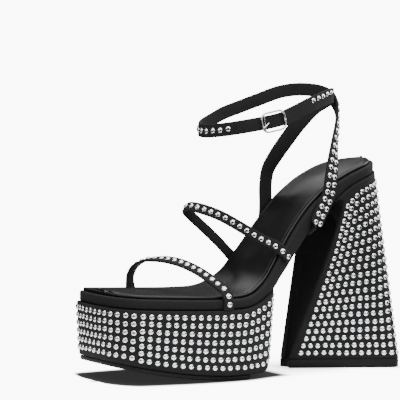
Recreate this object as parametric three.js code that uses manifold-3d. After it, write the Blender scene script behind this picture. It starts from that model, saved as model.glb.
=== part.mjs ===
// Platform sandal, left shoe. Millimetres, +X to the toe, +Y to the outer side of the foot, +Z up.
// It stands on the floor at Z = 0, with the middle of the heel's top piece at the origin.
import * as THREE from 'three';
import { mergeVertices } from 'three/addons/utils/BufferGeometryUtils.js';
import Module from 'manifold-3d';

const wasm = await Module();
wasm.setup();

// Last and footbed
const bedLength = 223; // in plan, from the back of the seat to the toe
const seatWidth = 55; // across the heel seat
const ballWidth = 80; // across the ball
const seatHeight = 149; // floor to the footbed at the back of the seat
const ballHeight = 56; // floor to the footbed under the ball
const bedThick = 7; // wrapped board at the seat and the toe, square to its surface
const sockThick = 2; // padded insole
const sockInset = 3.2; // rim left round the insole
const seatRound = 28; // length of the round back of the seat
const outerToeRound = 18; // length of the toe's round corner, little toe side
const innerToeRound = 9; // and great toe side

// Platform and outsole
const platformBack = 96; // rear end of the platform, from the back of the seat
const platformBackRound = 15; // length of its round rear end, in plan
const platformHeelRound = 19; // radius under its rear end, seen from the side
const wallLean = 2.4; // how far the wall runs in towards the floor
const outsoleThick = 3;
const outsoleInset = 1.2; // from the foot of the wall
const treadTo = 136; // the flat spot under the ball ends here, where the toe spring starts
const springPower = 1.7; // how the spring gathers towards the toe
const toeSpring = 12; // lift of the outsole at the toe

// Heel block and its top piece
const heelTipThick = 6.2;
const heelFrontAtFloor = 69.5; // front edge of the top piece, from the back of the seat
const heelFrontWidthAtFloor = 11;
const heelRearAtFloor = -8; // the back flares past the seat
const heelRearWidthAtFloor = 79;
const heelCornerAtFloor = 9; // rounding of the rear corners
const heelFrontAtSeat = 48; // top of the breast
const heelFrontSweep = 11.9; // the front edge sweeps this far forward into the seat
const heelSweepFrom = 0.87; // share of the heel's height where the sweep starts
const heelSeatLedge = 1; // stands out past the footbed's edge
const breastHollow = 2.2; // depth of the breast's hollow across

// Straps and buckle
const strapThick = 1.7;
const toeStrapWidth = 7.4;
const toeStrapOuterAt = 146; // lateral end, from the back of the seat
const toeStrapInnerAt = 174; // medial end
const toeStrapRise = 30.5; // crown above its ends
const toeStrapLean = 0.6; // tangent of its outer half's lean to the toe
const instepStrapWidth = 7.4;
const instepStrapOuterAt = 89; // lateral end, from the back of the seat
const instepStrapInnerAt = 94; // medial end
const instepStrapRise = 60; // from its ends to its crown, along its own plane
const instepStrapTilt = 42; // degrees between that plane and the floor
const instepStrapLean = 0.5;
const instepStrapLift = 5.5; // of its ends above the footbed's lower edge
const riserWidth = 11; // straps that rise from the arch
const loopWidth = 9.4; // strap round the ankle
const loopBack = 33; // back of the ankle loop, from the back of the seat
const loopLength = 108.5;
const loopHalfWidth = 32.3;
const loopHeight = 197; // floor to the loop's middle at the back
const turnHeight = 20; // below and above the seat, where the risers turn to the loop
const buckleLength = 20;
const buckleHeight = 14.6;
const buckleBar = 2.3; // width of the frame's bars
const buckleThick = 1.6;
const buckleLift = 0.25; // the flat frame spans the strap's bend
const prongRadius = 0.75;
const prongReach = 6; // from the strap's hole to the frame's front bar

const joinGap = 0.3; // between pieces that touch
const rootClear = 0.35; // straps stand this much further off the footbed's curved side
const platformMargin = strapThick + 2 * joinGap; // ledge outside the footbed that strap ends stand on

const { clamp, lerp, smoothstep, degToRad } = THREE.MathUtils;

const widthFrom = 0.25; // shares of the length where the bed widens from seat to ball
const widthTo = 0.6;
const toePower = 2.2; // squareness of the toe's corners
const rearPower = 2.4; // and of the platform's rear ones

// Half widths of the footbed at shares of its length, as shares of the width there.
const bedOutline = [
  { at: 0.0, outer: 0.5, inner: 0.49 },
  { at: 0.13, outer: 0.508, inner: 0.492 },
  { at: 0.27, outer: 0.513, inner: 0.478 },
  { at: 0.38, outer: 0.474, inner: 0.41 },
  { at: 0.48, outer: 0.48, inner: 0.392 },
  { at: 0.57, outer: 0.509, inner: 0.434 },
  { at: 0.64, outer: 0.515, inner: 0.46 },
  { at: 0.72, outer: 0.503, inner: 0.484 },
  { at: 0.8, outer: 0.475, inner: 0.496 },
  { at: 0.88, outer: 0.43, inner: 0.493 },
  { at: 1.0, outer: 0.36, inner: 0.482 },
];

// Height of the footbed at shares of its length, as shares of the rise from ball to seat, and its thickness there.
const bedProfile = [
  { at: 0.0, rise: 1.0, thick: 1.0 },
  { at: 0.1, rise: 0.936, thick: 1.0 },
  { at: 0.16, rise: 0.88, thick: 1.08 },
  { at: 0.22, rise: 0.803, thick: 1.36 },
  { at: 0.3, rise: 0.657, thick: 1.5 },
  { at: 0.37, rise: 0.468, thick: 1.46 },
  { at: 0.43, rise: 0.286, thick: 1.26 },
  { at: 0.49, rise: 0.115, thick: 1.08 },
  { at: 0.56, rise: 0.018, thick: 1.0 },
  { at: 0.65, rise: 0.0, thick: 1.0 },
  { at: 0.8, rise: 0.008, thick: 1.0 },
  { at: 1.0, rise: 0.028, thick: 1.0 },
];

// Cubic through a table's rows, with slopes taken across each row's neighbours.
function along(table, column, at) {
  const last = table.length - 1;
  let i = 0;
  while (i < last - 1 && at > table[i + 1].at) i += 1;
  const slope = (k) => {
    const a = table[Math.max(k - 1, 0)];
    const b = table[Math.min(k + 1, last)];
    return (b[column] - a[column]) / (b.at - a.at);
  };
  const step = table[i + 1].at - table[i].at;
  const s = clamp((at - table[i].at) / step, 0, 1);
  const blend = s * s * (3 - 2 * s);
  return lerp(table[i][column], table[i + 1][column], blend)
    + slope(i) * step * s * (1 - s) * (1 - s)
    - slope(i + 1) * step * s * s * (1 - s);
}

// Quarter of a superellipse: 0 at an end, 1 from the given length on.
function roundEnd(distance, length, power) {
  const q = clamp(distance / length, 0, 1);
  return (1 - (1 - q) ** power) ** (1 / power);
}

// Half widths of the footbed's outline at x, moved outwards by a margin.
function halfWidths(x, margin) {
  const share = clamp(x / bedLength, 0, 1);
  const width = lerp(seatWidth, ballWidth, smoothstep(share, widthFrom, widthTo));
  const fromBack = x + margin;
  const fromToe = bedLength + margin - x;
  const back = roundEnd(fromBack, seatRound + margin, 2);
  return {
    outer: (along(bedOutline, 'outer', share) * width + margin) * back
      * roundEnd(fromToe, outerToeRound + margin, toePower),
    inner: (along(bedOutline, 'inner', share) * width + margin) * back
      * roundEnd(fromToe, innerToeRound + margin, toePower),
  };
}

function bedTop(x) {
  return lerp(ballHeight, seatHeight, along(bedProfile, 'rise', clamp(x / bedLength, 0, 1)));
}

// Length on the slope for one millimetre of plan.
function slopeFactor(x) {
  return Math.hypot(1, (bedTop(x + 1) - bedTop(x - 1)) / 2);
}

function bedUnder(x) {
  const thick = bedThick * along(bedProfile, 'thick', clamp(x / bedLength, 0, 1));
  return bedTop(x) - thick * slopeFactor(x);
}

function treadHeight(x) {
  const q = clamp((x - treadTo) / (bedLength - treadTo), 0, 1);
  return toeSpring * q ** springPower;
}

// Joins equal vertices and leaves out triangles that closed up at a pole.
function welded(geometry) {
  geometry.deleteAttribute('normal');
  geometry.deleteAttribute('uv');
  geometry.clearGroups();
  const joined = mergeVertices(geometry, 1e-3);
  const corners = joined.index.array;
  const kept = [];
  for (let i = 0; i < corners.length; i += 3) {
    const [a, b, c] = corners.slice(i, i + 3);
    if (a !== b && b !== c && c !== a) kept.push(a, b, c);
  }
  joined.setIndex(kept);
  joined.computeVertexNormals();
  return joined;
}

// Moves every vertex of a plain solid to its place on the shoe.
function shaped(geometry, place) {
  const spots = geometry.attributes.position;
  const spot = new THREE.Vector3();
  for (let i = 0; i < spots.count; i += 1) {
    spot.fromBufferAttribute(spots, i);
    place(spot);
    spots.setXYZ(i, spot.x, spot.y, spot.z);
  }
  return welded(geometry);
}

// A layer of the sole: a box bent to the outline between two heights.
function layer({ from, to, backRound, steps, layers, marginAt, bottom, top }) {
  const box = new THREE.BoxGeometry(1, 1, 1, steps, 8, layers);
  return shaped(box, (spot) => {
    const up = spot.z + 0.5;
    const margin = marginAt(up);
    const start = Math.max(from, -margin);
    const end = Math.min(to, bedLength + margin);
    const x = lerp(start, end, 0.5 - 0.5 * Math.cos(Math.PI * (spot.x + 0.5)));
    const half = halfWidths(x, margin);
    const rear = backRound > 0 ? roundEnd(x - start, backRound, rearPower) : 1;
    const y = 2 * spot.y * (spot.y > 0 ? half.outer : half.inner) * rear;
    spot.set(x, y, lerp(bottom(x), top(x), up));
  });
}

const wholeLength = { from: -bedLength, to: 2 * bedLength, backRound: 0 };

function footbedGeometry() {
  return layer({
    ...wholeLength, steps: 48, layers: 1, marginAt: () => 0, bottom: bedUnder, top: bedTop,
  });
}

function insoleGeometry() {
  return layer({
    ...wholeLength,
    steps: 44,
    layers: 1,
    marginAt: () => -sockInset,
    bottom: (x) => bedTop(x) + joinGap * slopeFactor(x),
    top: (x) => bedTop(x) + (joinGap + sockThick) * slopeFactor(x),
  });
}

function platformGeometry() {
  const bottom = (x) => {
    const q = clamp((platformBack + platformHeelRound - x) / platformHeelRound, 0, 1);
    const roundUp = platformHeelRound * (1 - Math.sqrt(1 - q * q));
    return treadHeight(x) + outsoleThick + joinGap + roundUp;
  };
  return layer({
    from: platformBack,
    to: 2 * bedLength,
    backRound: platformBackRound,
    steps: 40,
    layers: 3,
    marginAt: (up) => platformMargin - wallLean * (1 - up),
    bottom,
    top: (x) => bedUnder(x) - joinGap * slopeFactor(x),
  });
}

function outsoleGeometry() {
  return layer({
    from: platformBack + platformHeelRound,
    to: 2 * bedLength,
    backRound: platformBackRound,
    steps: 40,
    layers: 1,
    marginAt: () => platformMargin - wallLean - outsoleInset,
    bottom: treadHeight,
    top: (x) => treadHeight(x) + outsoleThick,
  });
}

// Plan of the heel at a share of its height, counterclockwise: a hollow front, sides and a round rear.
function heelFront(up) {
  const turned = clamp((up - heelSweepFrom) / (1 - heelSweepFrom), 0, 1);
  const straight = lerp(heelFrontAtFloor, heelFrontAtSeat - heelFrontSweep, up);
  return straight + heelFrontSweep * (1 - Math.sqrt(1 - turned * turned));
}

function heelPlan(up) {
  const seat = halfWidths(heelFrontAtSeat, heelSeatLedge);
  const front = heelFront(up);
  const rear = lerp(heelRearAtFloor, -heelSeatLedge, up);
  const corner = lerp(heelCornerAtFloor, seatRound + heelSeatLedge, up);
  const outline = { outer: {}, inner: {} };
  for (const side of ['outer', 'inner']) {
    const sign = side === 'outer' ? 1 : -1;
    const frontY = sign * lerp(heelFrontWidthAtFloor / 2, seat[side], up);
    const rearY = sign * lerp(heelRearWidthAtFloor / 2, seat[side] - joinGap, up);
    const edge = new THREE.Vector2(front - rear, frontY - rearY).normalize().multiplyScalar(corner);
    outline[side] = { frontY, rearY, edge, sign };
  }
  const { outer, inner } = outline;
  const round = 0.55; // handle length that makes a curve an arc
  const plan = new THREE.Shape();
  plan.moveTo(front, inner.frontY);
  plan.quadraticCurveTo(front - 2 * breastHollow, (inner.frontY + outer.frontY) / 2, front, outer.frontY);
  plan.lineTo(rear + outer.edge.x, outer.rearY + outer.edge.y);
  plan.bezierCurveTo(
    rear + outer.edge.x * (1 - round), outer.rearY + outer.edge.y * (1 - round),
    rear, outer.rearY - corner * (1 - round),
    rear, outer.rearY - corner,
  );
  plan.lineTo(rear, inner.rearY + corner);
  plan.bezierCurveTo(
    rear, inner.rearY + corner * (1 - round),
    rear + inner.edge.x * (1 - round), inner.rearY + inner.edge.y * (1 - round),
    rear + inner.edge.x, inner.rearY + inner.edge.y,
  );
  plan.lineTo(front, inner.frontY);
  return plan.getPoints(7).slice(0, -1);
}

// A cylinder bent so that each of its rings is the heel's plan there.
function heelLoft(levels, planAt, heightAt) {
  const around = planAt(0).length;
  const pipe = new THREE.CylinderGeometry(1, 1, 1, around, levels);
  return shaped(pipe, (spot) => {
    const up = spot.y + 0.5;
    const ring = planAt(up);
    const turn = Math.atan2(spot.x, spot.z) / (2 * Math.PI);
    const k = Math.round(turn * around + around) % around;
    const middle = new THREE.Vector2();
    for (const p of ring) middle.addScaledVector(p, 1 / around);
    const p = middle.lerp(ring[k], Math.min(Math.hypot(spot.x, spot.z), 1));
    spot.set(p.x, p.y, heightAt(p.x, up));
  });
}

function heelBlockGeometry() {
  const base = heelTipThick + joinGap;
  return heelLoft(16, heelPlan, (x, up) => {
    const seatX = lerp(0, heelFrontAtSeat, clamp((x + heelSeatLedge) / heelFrontAtSeat, 0, 1));
    return up === 1 ? bedUnder(x) - joinGap * slopeFactor(x) : lerp(base, bedUnder(seatX), up);
  });
}

function heelTopPieceGeometry() {
  return heelLoft(1, () => heelPlan(0), (x, up) => up * heelTipThick);
}

// A flat strap along a curve. Its outer face looks the way that outward gives.
function strap(points, steps, widthAt, outward) {
  const path = new THREE.CatmullRomCurve3(points);
  path.arcLengthDivisions = 400;
  const box = new THREE.BoxGeometry(1, 1, 1, steps, 2, 1);
  return shaped(box, (spot) => {
    const share = spot.x + 0.5;
    const middle = path.getPointAt(share);
    const ahead = path.getTangentAt(share);
    const out = outward(middle, ahead);
    out.addScaledVector(ahead, -out.dot(ahead)).normalize();
    const across = new THREE.Vector3().crossVectors(out, ahead);
    middle.addScaledVector(across, spot.y * widthAt(share));
    middle.addScaledVector(out, spot.z * strapThick);
    spot.copy(middle);
  });
}

// Rows of the two straps over the foot: share of the way to either end, outer side positive, and of the rise.
const toeStrapArch = [
  { across: 0.93, up: 0.42 }, { across: 0.82, up: 0.52 }, { across: 0.64, up: 0.65 }, { across: 0.39, up: 0.81 },
  { across: 0.07, up: 0.945 }, { across: -0.24, up: 1.0 }, { across: -0.49, up: 0.99 },
  { across: -0.72, up: 0.93 }, { across: -0.92, up: 0.77 }, { across: -1.01, up: 0.54 },
];
const instepStrapArch = [
  { across: 0.95, up: 0.23 }, { across: 0.68, up: 0.35 }, { across: 0.45, up: 0.5 }, { across: 0.2, up: 0.67 },
  { across: -0.04, up: 0.8 }, { across: -0.32, up: 0.89 }, { across: -0.59, up: 0.95 },
  { across: -0.82, up: 0.98 }, { across: -1.0, up: 0.965 }, { across: -1.09, up: 0.915 },
  { across: -1.1, up: 0.82 }, { across: -1.06, up: 0.66 }, { across: -1.02, up: 0.48 },
  { across: -1.0, up: 0.3 },
];

// Middle of a strap that lies against the footbed's side.
function besideBed(x, side, height) {
  const half = halfWidths(x, joinGap + strapThick / 2 + rootClear);
  return new THREE.Vector3(x, side * (side > 0 ? half.outer : half.inner), height);
}

// Straight off the footbed's side at x.
function offBed(x, side) {
  const key = side > 0 ? 'outer' : 'inner';
  const widening = (halfWidths(x + 1, 0)[key] - halfWidths(x - 1, 0)[key]) / 2;
  return new THREE.Vector3(-widening, side, 0).normalize();
}

// A strap over the foot, in one plane through its two ends that tilts along the shoe.
function archedStrap({ outerAt, innerAt, lift, tilt, lean, rise, width, rows }) {
  const reach = new THREE.Vector3(Math.cos(degToRad(tilt)), 0, Math.sin(degToRad(tilt)));
  const outerEnd = besideBed(outerAt, 1, bedUnder(outerAt) + lift);
  const innerEnd = besideBed(innerAt, -1, bedUnder(innerAt) + lift);
  const points = rows.map(({ across, up }) => new THREE.Vector3()
    .lerpVectors(innerEnd, outerEnd, (across + 1) / 2)
    .addScaledVector(reach, up * rise));
  const climb = reach.clone().multiplyScalar(bedThick);
  points.unshift(outerEnd, besideBed(outerEnd.x + climb.x, 1, outerEnd.z + climb.z));
  points.push(besideBed(innerEnd.x + climb.x, -1, innerEnd.z + climb.z), innerEnd);
  const square = innerEnd.clone().sub(outerEnd).cross(reach).normalize();
  const outward = (at, ahead) => {
    const above = smoothstep(at.z - bedTop(at.x), 0, bedThick);
    const leaning = lean * smoothstep(at.y, innerEnd.y, 0);
    const free = square.clone().cross(ahead).addScaledVector(square, -leaning).normalize();
    return offBed(at.x, Math.sign(at.y)).lerp(free, above);
  };
  return strap(points, 56, () => width, outward);
}

function toeStrapGeometry() {
  return archedStrap({
    outerAt: toeStrapOuterAt,
    innerAt: toeStrapInnerAt,
    tilt: 90,
    lean: toeStrapLean,
    rise: toeStrapRise,
    width: toeStrapWidth,
    lift: 0,
    rows: toeStrapArch,
  });
}

function instepStrapGeometry() {
  return archedStrap({
    outerAt: instepStrapOuterAt,
    innerAt: instepStrapInnerAt,
    tilt: instepStrapTilt,
    lean: instepStrapLean,
    rise: instepStrapRise,
    width: instepStrapWidth,
    lift: instepStrapLift,
    rows: instepStrapArch,
  });
}

// Rows of the long ankle strap above the footbed: shares of the loop's length, half width and height.
const longStrapRows = [
  { along: 0.185, across: 0.94, up: 0.69 }, { along: 0.148, across: 0.83, up: 0.755 },
  { along: 0.1, across: 0.67, up: 0.825 }, { along: 0.045, across: 0.48, up: 0.893 },
  { along: -0.002, across: 0.217, up: 0.95 }, { along: -0.015, across: -0.09, up: 0.987 },
  { along: 0.014, across: -0.42, up: 1.005 }, { along: 0.085, across: -0.76, up: 1.01 },
  { along: 0.2, across: -0.94, up: 1.001 }, { along: 0.38, across: -1.0, up: 0.969 },
  { along: 0.54, across: -0.99, up: 0.941 }, { along: 0.66, across: -0.94, up: 0.921 },
  { along: 0.78, across: -0.81, up: 0.897 }, { along: 0.9, across: -0.58, up: 0.876 },
  { along: 0.977, across: -0.25, up: 0.864 }, { along: 0.997, across: 0.1, up: 0.861 },
  { along: 0.96, across: 0.46, up: 0.866 }, { along: 0.88, across: 0.8, up: 0.877 },
  { along: 0.78, across: 0.955, up: 0.888 }, { along: 0.67, across: 1.015, up: 0.899 },
  { along: 0.56, across: 0.995, up: 0.913 }, { along: 0.48, across: 0.935, up: 0.929 },
];
// And of the short ankle strap, which passes inside the long one behind the ankle.
const shortStrapRows = [
  { along: 0.34, across: -0.83, up: 0.66 }, { along: 0.33, across: -0.79, up: 0.715 },
  { along: 0.285, across: -0.715, up: 0.766 }, { along: 0.23, across: -0.61, up: 0.818 },
  { along: 0.16, across: -0.42, up: 0.886 }, { along: 0.082, across: -0.22, up: 0.944 },
  { along: 0.0235, across: 0.05, up: 0.977 }, { along: 0.044, across: 0.29, up: 0.988 },
  { along: 0.12, across: 0.54, up: 0.988 }, { along: 0.235, across: 0.75, up: 0.974 },
  { along: 0.362, across: 0.9, up: 0.954 }, { along: 0.478, across: 0.98, up: 0.93 },
  { along: 0.575, across: 1.035, up: 0.911 },
];
// Their lower ends beside the footbed: share of its length and height above its underside in thicknesses.
const longStrapRoots = [{ at: 0.285, up: 0.1 }, { at: 0.262, up: 0.7 }, { at: 0.243, up: 1.6 }];
const shortStrapRoots = [{ at: 0.318, up: 0.1 }, { at: 0.312, up: 1.0 }, { at: 0.31, up: 2.1 }];
const narrowFrom = 0.2; // shares of the long strap where it narrows from riser to loop
const narrowTo = 0.3;
const buckleRow = 19; // row of the long strap that the buckle lies on

function loopPoint({ along: ahead, across, up }) {
  return new THREE.Vector3(loopBack + ahead * loopLength, across * loopHalfWidth, up * loopHeight);
}

// Outward on the ankle loop, turning to straight off the footbed beside it.
function loopOutward(at) {
  const x = at.x - loopBack - loopLength / 2;
  const out = new THREE.Vector3(x / (loopLength / 2) ** 2, at.y / loopHalfWidth ** 2, 0).normalize();
  const above = smoothstep(at.z, seatHeight - turnHeight, seatHeight + turnHeight);
  return offBed(at.x, Math.sign(at.y)).lerp(out, above);
}

// Both ankle straps, joined where they cross behind the ankle and at the buckle.
function ankleStrapsGeometry() {
  const root = (row, side) => {
    const x = row.at * bedLength;
    return besideBed(x, side, bedUnder(x) + row.up * bedThick);
  };
  const long = longStrapRoots.map((row) => root(row, 1));
  long.push(...longStrapRows.map(loopPoint));
  const short = shortStrapRoots.map((row) => root(row, -1));
  short.push(...shortStrapRows.map(loopPoint));
  const longWidth = (share) => lerp(riserWidth, loopWidth, smoothstep(share, narrowFrom, narrowTo));
  const longStrap = strap(long, 96, longWidth, loopOutward);
  const shortStrap = strap(short, 56, () => riserWidth, loopOutward);
  return joined(longStrap, shortStrap);
}

function solidOf(geometry) {
  return new wasm.Manifold(new wasm.Mesh({
    numProp: 3,
    vertProperties: new Float32Array(geometry.attributes.position.array),
    triVerts: new Uint32Array(geometry.index.array),
  }));
}

function joined(first, second) {
  const mesh = solidOf(first).add(solidOf(second)).getMesh();
  const geometry = new THREE.BufferGeometry();
  geometry.setAttribute('position', new THREE.BufferAttribute(mesh.vertProperties, 3));
  geometry.setIndex(new THREE.BufferAttribute(mesh.triVerts, 1));
  return welded(geometry);
}

function roundedRectangle(shape, length, height, radius) {
  const x = length / 2 - radius;
  const y = height / 2 - radius;
  shape.absarc(x, y, radius, 0, Math.PI / 2);
  shape.absarc(-x, y, radius, Math.PI / 2, Math.PI);
  shape.absarc(-x, -y, radius, Math.PI, 1.5 * Math.PI);
  shape.absarc(x, -y, radius, 1.5 * Math.PI, 2 * Math.PI);
  return shape;
}

function buckleFrameGeometry() {
  const edge = 0.35; // bevel all round
  const cornerRadius = 3.6;
  const frame = roundedRectangle(
    new THREE.Shape(), buckleLength - 2 * edge, buckleHeight - 2 * edge, cornerRadius,
  );
  frame.holes.push(roundedRectangle(
    new THREE.Path(), buckleLength - 2 * buckleBar + 2 * edge,
    buckleHeight - 2 * buckleBar + 2 * edge, cornerRadius - buckleBar + 2 * edge,
  ));
  const bar = new THREE.ExtrudeGeometry(frame, {
    depth: buckleThick - 2 * edge, bevelEnabled: true, bevelSegments: 1, bevelSize: edge,
    bevelThickness: edge, curveSegments: 5,
  });
  bar.translate(0, 0, edge);
  return welded(bar);
}

// The prong comes out of the strap's hole and lies over the frame's front bar.
function buckleProngGeometry() {
  const over = buckleThick + joinGap + prongRadius;
  const low = prongRadius + joinGap;
  const front = buckleLength / 2;
  const rear = front - buckleBar - prongReach;
  const knee = lerp(rear, front, 0.5);
  const path = new THREE.CatmullRomCurve3([
    new THREE.Vector3(rear, 0, low),
    new THREE.Vector3(lerp(rear, knee, 0.5), 0, lerp(low, over, 0.4)),
    new THREE.Vector3(knee, 0, lerp(low, over, 0.85)),
    new THREE.Vector3(front - buckleBar, 0, over),
    new THREE.Vector3(front, 0, over),
  ]);
  const round = new THREE.Shape();
  round.absarc(0, 0, prongRadius, 0, 2 * Math.PI);
  return welded(new THREE.ExtrudeGeometry(round, { steps: 14, extrudePath: path, curveSegments: 8 }));
}

// Buckle axes: X along the strap to its front, Z off its outer face.
function buckleGroup() {
  const row = loopPoint(longStrapRows[buckleRow]);
  const ahead = loopPoint(longStrapRows[buckleRow - 1]).sub(loopPoint(longStrapRows[buckleRow + 1])).normalize();
  const out = loopOutward(row);
  out.addScaledVector(ahead, -out.dot(ahead)).normalize();
  const up = new THREE.Vector3().crossVectors(out, ahead);
  const holder = new THREE.Group();
  holder.quaternion.setFromRotationMatrix(new THREE.Matrix4().makeBasis(ahead, up, out));
  holder.position.copy(row).addScaledVector(out, strapThick / 2 + joinGap + buckleLift);
  return holder;
}

const suede = { color: 0x17171a, roughness: 0.92, metalness: 0 };
const leather = { color: 0x121214, roughness: 0.42, metalness: 0 };
const rubber = { color: 0x0c0c0d, roughness: 0.6, metalness: 0 };
const steel = { color: 0xc9c9c9, roughness: 0.2, metalness: 1 };

function piece(name, geometry, finish) {
  const mesh = new THREE.Mesh(geometry, new THREE.MeshStandardMaterial(finish));
  mesh.name = name;
  return mesh;
}

const shoe = new THREE.Group();
shoe.add(piece('outsole', outsoleGeometry(), rubber));
shoe.add(piece('platform', platformGeometry(), suede));
shoe.add(piece('footbed', footbedGeometry(), suede));
shoe.add(piece('insole', insoleGeometry(), leather));
shoe.add(piece('heel_block', heelBlockGeometry(), suede));
shoe.add(piece('heel_top_piece', heelTopPieceGeometry(), rubber));
shoe.add(piece('toe_strap', toeStrapGeometry(), suede));
shoe.add(piece('instep_strap', instepStrapGeometry(), suede));
shoe.add(piece('ankle_straps', ankleStrapsGeometry(), suede));
const buckle = buckleGroup();
buckle.add(piece('buckle_frame', buckleFrameGeometry(), steel));
buckle.add(piece('buckle_prong', buckleProngGeometry(), steel));
shoe.add(buckle);

// The origin lies under the middle of the heel's top piece.
const heelMiddle = (heelFrontAtFloor + 2 * heelRearAtFloor) / 3;
shoe.position.x = -heelMiddle;

export default shoe;
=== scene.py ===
import math
import bpy
import numpy as np
from mathutils import Matrix, Vector


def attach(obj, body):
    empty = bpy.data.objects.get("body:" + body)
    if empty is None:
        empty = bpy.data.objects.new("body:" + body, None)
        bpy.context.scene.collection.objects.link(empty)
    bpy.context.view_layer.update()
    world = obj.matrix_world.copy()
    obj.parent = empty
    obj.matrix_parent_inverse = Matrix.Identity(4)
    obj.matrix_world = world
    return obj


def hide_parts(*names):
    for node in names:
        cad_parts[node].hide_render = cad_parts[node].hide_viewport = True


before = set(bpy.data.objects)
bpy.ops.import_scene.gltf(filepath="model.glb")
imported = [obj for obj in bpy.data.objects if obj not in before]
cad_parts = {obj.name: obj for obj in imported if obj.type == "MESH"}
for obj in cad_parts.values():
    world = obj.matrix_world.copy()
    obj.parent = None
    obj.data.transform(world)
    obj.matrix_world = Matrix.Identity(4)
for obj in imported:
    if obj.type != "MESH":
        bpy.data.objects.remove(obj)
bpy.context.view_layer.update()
print("stage: frame loaded")

mm = 0.001
rng = np.random.default_rng(7)

# The last: lengths in mm, x from the back of the seat to the toe, y to the outer side
last = {
    "length": 223.0, "seatWidth": 55.0, "ballWidth": 80.0, "seatHeight": 149.0, "ballHeight": 56.0,
    "bedThick": 7.0, "seatRound": 28.0, "outerToeRound": 18.0, "innerToeRound": 9.0,
    "toeSpring": 12.0, "treadTo": 136.0, "springPower": 1.7, "toePower": 2.2, "rearPower": 2.4,
}
# share of the length, then outer and inner half width as shares of the width
bedOutline = np.array([
    (0.0, 0.5, 0.49), (0.13, 0.508, 0.492), (0.27, 0.513, 0.478), (0.38, 0.474, 0.41),
    (0.48, 0.48, 0.392), (0.57, 0.509, 0.434), (0.64, 0.515, 0.46), (0.72, 0.503, 0.484),
    (0.8, 0.475, 0.496), (0.88, 0.43, 0.493), (1.0, 0.36, 0.482),
])
# share of the length, height as a share of the rise from ball to seat, thickness as a share of the board's
bedProfile = np.array([
    (0.0, 1.0, 1.0), (0.1, 0.936, 1.0), (0.16, 0.88, 1.08), (0.22, 0.803, 1.36), (0.3, 0.657, 1.5),
    (0.37, 0.468, 1.46), (0.43, 0.286, 1.26), (0.49, 0.115, 1.08), (0.56, 0.018, 1.0), (0.65, 0.0, 1.0),
    (0.8, 0.008, 1.0), (1.0, 0.028, 1.0),
])


def smooth(t, low, high):
    # q*q*(3 - 2*q) with q the clamped share of t between low and high
    q = np.clip((t - low) / (high - low), 0, 1)
    return q * q * (3 - 2 * q)


def mix(a, b, t):
    # a at t = 0, b at t = 1, straight between
    return a + (b - a) * t


def unit(v):
    # v / |v|
    return v / np.maximum(np.linalg.norm(v, axis=-1, keepdims=True), 1e-9)


def alongTable(table, column, at):
    # cubic through the rows: mix(v0, v1, smooth(s)) + m0*h*s*(1-s)^2 - m1*h*s^2*(1-s)
    at = np.asarray(at, float)
    knots, values = table[:, 0], table[:, column]
    end = len(knots) - 1
    i = np.clip(np.searchsorted(knots, at, side="left") - 1, 0, end - 1)
    after = np.minimum(np.arange(end + 1) + 1, end)
    before = np.maximum(np.arange(end + 1) - 1, 0)
    slope = (values[after] - values[before]) / (knots[after] - knots[before])
    h = knots[i + 1] - knots[i]
    s = np.clip((at - knots[i]) / h, 0, 1)
    return (mix(values[i], values[i + 1], s * s * (3 - 2 * s))
            + slope[i] * h * s * (1 - s) ** 2 - slope[i + 1] * h * s * s * (1 - s))


def roundEnd(distance, length, power):
    # quarter of a superellipse: (1 - (1-q)^n)^(1/n) with q = distance / length
    q = np.clip(distance / length, 0, 1)
    return (1 - (1 - q) ** power) ** (1 / power)


def halfWidths(x, margin):
    # (outer, inner) = (share(x)*width(x) + margin) * round back * round toe
    share = np.clip(x / last["length"], 0, 1)
    width = mix(last["seatWidth"], last["ballWidth"], smooth(share, 0.25, 0.6))
    back = roundEnd(x + margin, last["seatRound"] + margin, 2.0)
    toe = last["length"] + margin - x
    outer = (alongTable(bedOutline, 1, share) * width + margin) * back
    inner = (alongTable(bedOutline, 2, share) * width + margin) * back
    return (outer * roundEnd(toe, last["outerToeRound"] + margin, last["toePower"]),
            inner * roundEnd(toe, last["innerToeRound"] + margin, last["toePower"]))


def bedTop(x):
    # mix(ball height, seat height, the profile's rise)
    rise = alongTable(bedProfile, 1, np.clip(x / last["length"], 0, 1))
    return mix(last["ballHeight"], last["seatHeight"], rise)


def slopeFactor(x):
    # length on the slope for 1 mm of plan: sqrt(1 + slope^2)
    return np.hypot(1, (bedTop(x + 1) - bedTop(x - 1)) / 2)


def bedUnder(x):
    # bedTop - the board's thickness, measured square to the slope
    thick = last["bedThick"] * alongTable(bedProfile, 2, np.clip(x / last["length"], 0, 1))
    return bedTop(x) - thick * slopeFactor(x)


def treadHeight(x):
    # toe spring: lift * q^power from the end of the flat spot to the toe
    q = np.clip((x - last["treadTo"]) / (last["length"] - last["treadTo"]), 0, 1)
    return last["toeSpring"] * q ** last["springPower"]


def runLength(points):
    # distance along the points up to each of them: running sum of |step|
    return np.concatenate([[0], np.cumsum(np.linalg.norm(np.diff(points, axis=0), axis=1))])


def alongRun(at, run, values):
    # each column of values where the run reaches at, straight between its points
    return np.column_stack([np.interp(at, run, column) for column in values.T])


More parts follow.
